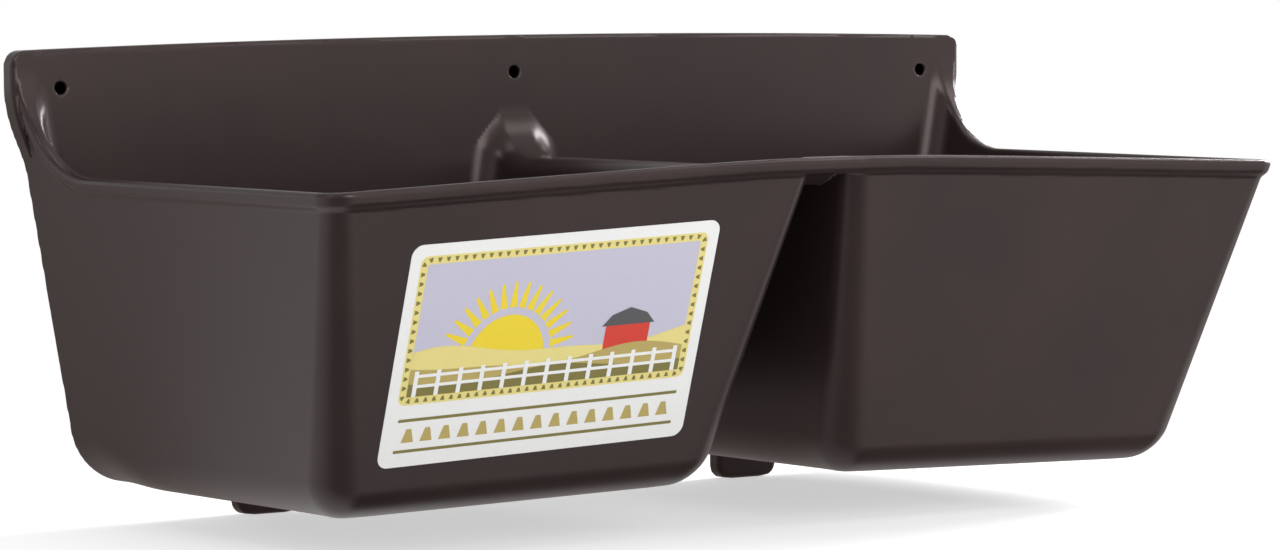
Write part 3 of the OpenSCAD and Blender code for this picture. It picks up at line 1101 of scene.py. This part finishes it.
@dataclass
class Label:
    """The printed sheet on the left tub: a plain farm picture under the sun, above a patterned strip."""

    form: MouldingForm
    width: float = 178.0
    height: float = 114.0
    corner_r: float = 6.0
    thickness: float = 0.3
    glue: float = 0.075
    drop: float = 34.0
    offset: float = 2.0
    rise: float = 7.0
    ink_step: float = 0.03
    picture_width: float = 166.0
    picture_height: float = 76.0
    picture_v: float = 13.0
    picture_corner_r: float = 4.0
    frame_width: float = 4.2
    sky_corner_r: float = 1.0
    sun_r: float = 22.0
    sun_spot: Spot = (-26.0, -5.0)
    sun_steps: int = 32
    ray_length: float = 13.0
    ray_middle: float = 10.4
    hill_steps: int = 41
    hill_waves: Spot = (7.0, 12.0)
    barn_spot: Spot = (44.0, -9.0)
    barn_width: float = 26.0
    barn_height: float = 15.0
    barn_corner_r: float = 0.3
    roof_rise: float = 9.0
    roof_knee_shares: Spot = (0.66, 0.62)
    eaves: float = 2.5
    fence_height: float = 13.0
    fence_width: float = 150.0
    rail: float = 1.6
    rail_corner_r: float = 0.5
    rail_shares: Spot = (0.4, 0.8)
    strip_v: float = -41.0
    strip_width: float = 162.0
    strip_height: float = 16.0
    tile: float = 7.0
    tile_head: float = 2.8
    node: str = "label"

    def plane(self, lift: float) -> Matrix:
        """Gives where a plane over the tub's wall lies.

        Args:
            lift: Distance of the plane from the wall.

        Returns:
            The turn, slope and place that carry millimetres on the label into the scene.
        """
        form = self.form
        lean = math.atan2(form.front_taper, form.tub_height)
        centre_drop = self.drop + self.height / 2.0
        centre_z = -centre_drop * math.cos(lean)
        centre_x = -(form.end_x(centre_z) + form.gap_x(centre_z)) / 2.0 - self.offset
        sloped = Matrix.Identity(4)
        sloped[1][0] = self.rise / self.width
        on_wall = (
            Matrix.Translation((centre_x, form.front_y(0.0), 0.0))
            @ Matrix.Rotation(math.pi / 2.0 + lean, 4, "X")
            @ Matrix.Translation((0.0, -centre_drop, lift))
            @ sloped)
        return form.in_scene() @ on_wall

    def ink_plane(self, layer: int) -> Matrix:
        """Gives where one layer of ink lies."""
        return self.plane(self.glue + self.thickness + layer * self.ink_step)

    def build(self) -> list[bpy.types.Object]:
        """Makes the sheet and its print.

        Returns:
            The sheet first, then the printed pieces.
        """
        inks = {ink: PrintedSheet("label_" + ink.name.lower(), ink.value).make() for ink in Ink}
        pieces = [self._sheet(inks[Ink.PAPER]), self._areas(inks)]
        pieces += [row.build(self.ink_plane(row.layer), inks[row.ink]) for row in self._rows()]
        for piece in pieces:
            LOG.info("%s: %d faces", piece.name, len(piece.data.polygons))
        return pieces

    def dress(self, pieces: list[bpy.types.Object]) -> None:
        """Ties the label's pieces to the frame.

        Args:
            pieces: The sheet first, then the printed pieces.
        """
        for piece in pieces:
            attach(piece, BODY)
        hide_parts(self.node)

    def _sheet(self, paper: bpy.types.Material) -> bpy.types.Object:
        """Makes the paper.

        Args:
            paper: Its material.

        Returns:
            A thin closed sheet with round corners.
        """
        outline = rounded_box(self.width, self.height, self.corner_r, (0.0, 0.0))
        count = len(outline)
        points = [(u, v, w) for w in (0.0, self.thickness) for u, v in outline]
        sides = [(i, (i + 1) % count, count + (i + 1) % count, count + i) for i in range(count)]
        faces = [tuple(reversed(range(count))), tuple(range(count, 2 * count))] + sides
        mesh = new_mesh("label_sheet", points, faces)
        mesh.materials.append(paper)
        mesh.transform(self.plane(self.glue))
        return new_object("label_sheet", mesh)

    def _areas(self, inks: dict[Ink, bpy.types.Material]) -> bpy.types.Object:
        """Makes the printed areas.

        Args:
            inks: The material of each ink.

        Returns:
            The areas as one piece, one face each, laid one over the other.
        """
        points = []
        faces = []
        order = list(Ink)
        shapes = self._shapes()
        for shape in shapes:
            plane = self.ink_plane(shape.layer)
            faces.append(tuple(range(len(points), len(points) + len(shape.outline))))
            points += [plane @ Vector((u, v, 0.0)) for u, v in shape.outline]
        mesh = new_mesh("label_print", points, faces)
        for ink in order:
            mesh.materials.append(inks[ink])
        for face, shape in zip(mesh.polygons, shapes):
            face.material_index = order.index(shape.ink)
        return new_object("label_print", mesh)

    @property
    def _inner_width(self) -> float:
        """Width of the picture inside its frame."""
        return self.picture_width - 2.0 * self.frame_width

    @property
    def _low(self) -> float:
        """Height of the picture's lower edge inside its frame."""
        return self.picture_v - self.picture_height / 2.0 + self.frame_width

    def _shapes(self) -> list[InkShape]:
        """Gives the printed areas.

        Returns:
            The areas in the order in which they are laid.
        """
        inner_height = self.picture_height - 2.0 * self.frame_width
        middle = (0.0, self.picture_v)
        frame = rounded_box(self.picture_width, self.picture_height, self.picture_corner_r, middle)
        sky = rounded_box(self._inner_width, inner_height, self.sky_corner_r, middle)
        sun = arc(self.sun_spot, self.sun_r, 0.0, 180.0, self.sun_steps)
        rails = [self._low + share * self.fence_height for share in self.rail_shares]
        rules = [self.strip_v + side * self.strip_height / 2.0 for side in (-1.0, 1.0)]
        return [
            InkShape(frame, Ink.STRAW, 1),
            InkShape(sky, Ink.SKY, 2),
            InkShape(sun, Ink.YELLOW, 4),
            InkShape(self._hill(rise=20.0, swell=3.6, start=0.4), Ink.STRAW, 5),
            InkShape(self._barn_wall(), Ink.RED, 6),
            InkShape(self._barn_roof(), Ink.GREY, 6),
            InkShape(self._hill(rise=13.0, swell=2.8, start=2.1), Ink.TAN, 7),
            InkShape(self._hill(rise=7.0, swell=1.8, start=4.0), Ink.OLIVE, 8),
            *(InkShape(self._bar(self.fence_width, rail_v), Ink.PAPER, 9) for rail_v in rails),
            *(InkShape(self._bar(self.strip_width, rule_v), Ink.OLIVE, 1) for rule_v in rules),
        ]

    def _bar(self, width: float, middle_v: float) -> list[Spot]:
        """Gives the outline of a thin level bar at a height on the label."""
        return rounded_box(width, self.rail, self.rail_corner_r, (0.0, middle_v))

    def _barn_wall(self) -> list[Spot]:
        """Gives the outline of the barn's wall, which stands behind a hill.

        Returns:
            The outline, anticlockwise.
        """
        u, v = self.barn_spot
        middle = (u, v + self.barn_height / 2.0)
        return rounded_box(self.barn_width, self.barn_height, self.barn_corner_r, middle)

    def _barn_roof(self) -> list[Spot]:
        """Gives the outline of the barn's roof.

        Returns:
            The outline, anticlockwise.
        """
        u, v = self.barn_spot
        foot_v = v + self.barn_height
        half = self.barn_width / 2.0 + self.eaves
        out_share, up_share = self.roof_knee_shares
        knee_u = out_share * half
        knee_v = foot_v + up_share * self.roof_rise
        top = (u, foot_v + self.roof_rise)
        return [(u - half, foot_v), (u + half, foot_v), (u + knee_u, knee_v), top, (u - knee_u, knee_v)]

    def _hill(self, rise: float, swell: float, start: float) -> list[Spot]:
        """Gives the outline of a hill that fills the picture's width.

        Args:
            rise: Mean height of the crest above the picture's lower edge.
            swell: How far the crest rises and falls.
            start: Angle at which the crest's waves start, in radians.

        Returns:
            The outline, anticlockwise.
        """
        width = self._inner_width
        long_waves, short_waves = self.hill_waves
        crest = []
        for share in np.linspace(1.0, 0.0, self.hill_steps):
            wave = math.sin(start + long_waves * share) + math.sin(2.0 * start + short_waves * share) / 2.0
            crest.append((width * (share - 0.5), self._low + rise + swell * wave))
        return [(-width / 2.0, self._low), (width / 2.0, self._low)] + crest

    def _rows(self) -> tuple[MarkRow, ...]:
        """Gives the rows of repeated marks.

        Returns:
            The frame's beads, the sun's rays, the fence's posts and the strip's tiles.
        """
        post_v = self._low + self.fence_height / 2.0
        tiles_width = self.strip_width - 2.0 * self.tile
        return (
            MarkRow("label_beads", Ink.OLIVE, 2, RowPath.RING, (0.0, self.picture_v),
                    count=96, length=2.2, foot=2.6, head=1.0,
                    width=self.picture_width - self.frame_width,
                    height=self.picture_height - self.frame_width,
                    corner_r=self.picture_corner_r - self.frame_width / 2.0),
            MarkRow("label_rays", Ink.YELLOW, 3, RowPath.ARCH, self.sun_spot,
                    count=17, length=self.ray_length, foot=1.4, head=4.2,
                    corner_r=self.sun_r + self.ray_middle),
            MarkRow("label_posts", Ink.PAPER, 10, RowPath.LINE, (-self.fence_width / 2.0, post_v),
                    count=13, length=self.fence_height, foot=2.4, head=2.4, width=self.fence_width),
            MarkRow("label_tiles", Ink.TAN, 1, RowPath.LINE, (-tiles_width / 2.0, self.strip_v),
                    count=15, length=self.tile, foot=self.tile, head=self.tile_head, width=tiles_width),
        )


@dataclass(frozen=True)
class Lamp:
    """A square soft lamp: its place and aim in metres, the length of its side, and its power in watts."""

    name: str
    place: Point
    side: float
    power: float
    aim: Point = (0.0, 0.0, 0.1)

    def add(self) -> None:
        """Puts the lamp into the scene."""
        data = bpy.data.lights.new(self.name, "AREA")
        data.shape = "SQUARE"
        data.size = self.side
        data.energy = self.power
        new_object(self.name, data).matrix_world = aimed(Vector(self.place), Vector(self.aim))


@dataclass(frozen=True)
class Dimming:
    """A dim part of what gloss sees: its way, how far along that it starts and is full, and its level."""

    way: Point
    edge: Spot
    level: float

    def strength(self, nodes: ShaderNodes, place: Socket) -> Socket:
        """Gives the strength at a place: 1 outside the dim part, falling to its level."""
        along = nodes.node("ShaderNodeVectorMath", {0: place, 1: self.way}, operation="DOT_PRODUCT")
        return nodes.span(along.outputs["Value"], self.edge, (1.0, self.level))


@dataclass
class Studio:
    """Camera, lamps, pale floor, and the black cards of painted shade behind the screw holes."""

    lamps: tuple[Lamp, ...] = (
        Lamp("right_lamp", (1.9, 0.4, 0.95), 0.9, 80.0),
        Lamp("key_lamp", (1.5, -1.1, 1.7), 0.9, 7.0),
        Lamp("left_lamp", (-1.7, -0.2, 1.6), 0.45, 4.0),
        Lamp("overhead_lamp", (0.0, 0.3, 2.4), 1.4, 6.0),
        Lamp("front_lamp", (-0.1, -2.5, 0.9), 1.4, 30.0),
    )
    ambient: float = 0.5
    dim_parts: tuple[Dimming, ...] = (
        Dimming((-0.48, -0.71, -0.52), (0.55, 0.93), 0.2),
        Dimming((0.58, -0.17, -0.80), (0.84, 0.96), 0.0),
        Dimming((0.0, 0.0, 1.0), (0.1, 0.5), 0.5),
    )
    floor_side: float = 8.0
    floor_colour: Colour = (0.60, 0.60, 0.60)
    floor_roughness: float = 0.9
    floor_glow: float = 0.56
    floor_white_from: Spot = (0.2, 0.55)
    # Painted reflection: where gloss sees a dark, warm glow on the floor, and how strong and what colour it
    # is.
    shade_across: Dimming = Dimming((0.82, 0.52, 0.0), (-0.25, -0.15), 0.0)
    shade_behind: Dimming = Dimming((0.0, -1.0, 0.0), (0.0, 0.15), 0.0)
    shade_level: float = 0.40
    shade_colour: Colour = (1.0, 0.85, 0.82)
    shade_card_steps: int = 24
    shade_card_gap: float = 0.1
    lens: float = 149.0
    sensor: float = 36.0
    view_end: float = 100.0
    eye: Point = (-1593.29, -2232.39, 290.39)
    aim: Point = (-8.87, 11.03, 125.57)
    roll: float = -0.34

    def set_camera(self) -> None:
        """Puts the camera where the photograph was taken from."""
        data = bpy.data.cameras.new("camera")
        data.lens = self.lens
        data.sensor_width = self.sensor
        data.sensor_fit = "HORIZONTAL"
        data.clip_end = self.view_end
        camera = new_object("camera", data)
        rolled = Matrix.Rotation(math.radians(self.roll), 4, "Z")
        camera.matrix_world = aimed(Vector(self.eye) * MM, Vector(self.aim) * MM) @ rolled
        bpy.context.scene.camera = camera

    def set_light(self) -> None:
        """Adds the lamps and the surrounding: white to the camera, and with its dim parts in gloss."""
        for lamp in self.lamps:
            lamp.add()
        world = bpy.data.worlds.new("surrounding")
        bpy.context.scene.world = world
        world.use_nodes = True
        nodes = ShaderNodes(world.node_tree)
        background = world.node_tree.nodes["Background"]
        way = nodes.node("ShaderNodeTexCoord").outputs["Generated"]
        gloss = self.dim_parts[0].strength(nodes, way)
        for part in self.dim_parts[1:]:
            gloss = nodes.times(gloss, part.strength(nodes, way))
        lit = nodes.span(nodes.ray("Glossy"), WHOLE, (self.ambient, gloss))
        strength = nodes.span(nodes.ray("Camera"), WHOLE, (lit, 1.0))
        nodes.feed(background, {"Color": WHITE, "Strength": strength})

    def set_floor(self) -> None:
        """Lays a pale floor that keeps the feeder's shadow and runs out to white."""
        half = self.floor_side / 2.0
        corners = [(-half, -half, 0.0), (half, -half, 0.0), (half, half, 0.0), (-half, half, 0.0)]
        mesh = new_mesh("floor", corners, [(0, 1, 2, 3)])
        floor = new_object("floor", mesh)
        mesh.materials.append(self._floor_finish())

    def _floor_finish(self) -> bpy.types.Material:
        """Makes the floor's material.

        Returns:
            A pale matt floor that the camera sees run out to white. Gloss sees a painted reflection
            instead: the white surrounding, without the feeder's shadow, with a painted dark, warm glow
                towards the feeder's left rear.
        """
        shade = Shade("pale_floor")
        place = shade.place()
        from_camera = shade.ray("Camera")
        shade.feed(shade.surface, {
            "Base Color": self.floor_colour,
            "Roughness": self.floor_roughness,
            "Emission Color": WHITE,
            "Emission Strength": shade.times(from_camera, self.floor_glow),
        })
        distance = shade.node("ShaderNodeVectorMath", {0: place}, operation="LENGTH").outputs["Value"]
        away = shade.times(shade.span(distance, self.floor_white_from, WHOLE), from_camera)
        white = shade.node("ShaderNodeEmission").outputs[0]
        seen = shade.either_shader(away, shade.surface.outputs[0], white)

        # Painted reflection: gloss sees the surrounding through the floor, not the feeder's shadow, with a
        # painted dark glow over part of it.
        across = shade.span(self.shade_across.strength(shade, place), WHOLE, (1.0, 0.0))
        shaded = shade.times(across, self.shade_behind.strength(shade, place))
        dark = shade.node("ShaderNodeEmission", {"Color": self.shade_colour, "Strength": self.shade_level})
        surrounding = shade.node("ShaderNodeBsdfTransparent").outputs[0]
        in_gloss = shade.either_shader(shaded, surrounding, dark.outputs[0])
        shade.feed(shade.output, {"Surface": shade.either_shader(shade.ray("Glossy"), seen, in_gloss)})
        return shade.material

    def set_shade_cards(self, form: MouldingForm) -> None:
        """Puts a small round black card of painted shade behind each screw hole, so that the holes show no
        light.

        Args:
            form: Shape of the moulding.
        """
        depth = form.edge_depth + self.shade_card_gap
        points = []
        faces = []
        for x in (-form.outer_hole_x, 0.0, form.outer_hole_x):
            middle = (x, form.hole_z(abs(x)))
            ring = arc(middle, form.hole_r + form.hole_edge_r, 0.0, 360.0, self.shade_card_steps + 1)[1:]
            faces.append(tuple(range(len(points), len(points) + len(ring))))
            points += [(u, depth, v) for u, v in ring]
        mesh = new_mesh("hole_shade_cards", points, faces)
        mesh.transform(form.in_scene())
        mesh.materials.append(self._shade_card_finish())
        new_object("hole_shade_cards", mesh)

    @staticmethod
    def _shade_card_finish() -> bpy.types.Material:
        """Makes the cards' material.

        Returns:
            A painted-shade finish that is black from the front and clear from behind.
        """
        shade = Shade("painted_shade_card")
        behind = shade.node("ShaderNodeNewGeometry").outputs["Backfacing"]
        # Painted shade: a black that stands in for the shade deep in the screw holes.
        black = shade.node("ShaderNodeEmission", {"Strength": 0.0}).outputs[0]
        clear = shade.node("ShaderNodeBsdfTransparent").outputs[0]
        shade.feed(shade.output, {"Surface": shade.either_shader(behind, black, clear)})
        return shade.material


def main() -> None:
    """Builds and dresses the feeder."""
    logging.basicConfig(level=logging.INFO, format="%(name)s: %(message)s")
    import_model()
    bpy.context.scene.view_settings.view_transform = "Standard"
    form = MouldingForm.from_frame()
    LOG.info("form: %s", form)
    moulding = Moulding(form)
    moulding.dress(moulding.build())
    label = Label(form)
    label.dress(label.build())
    studio = Studio()
    studio.set_camera()
    studio.set_light()
    studio.set_floor()
    studio.set_shade_cards(form)


if __name__ == "__main__":
    main()
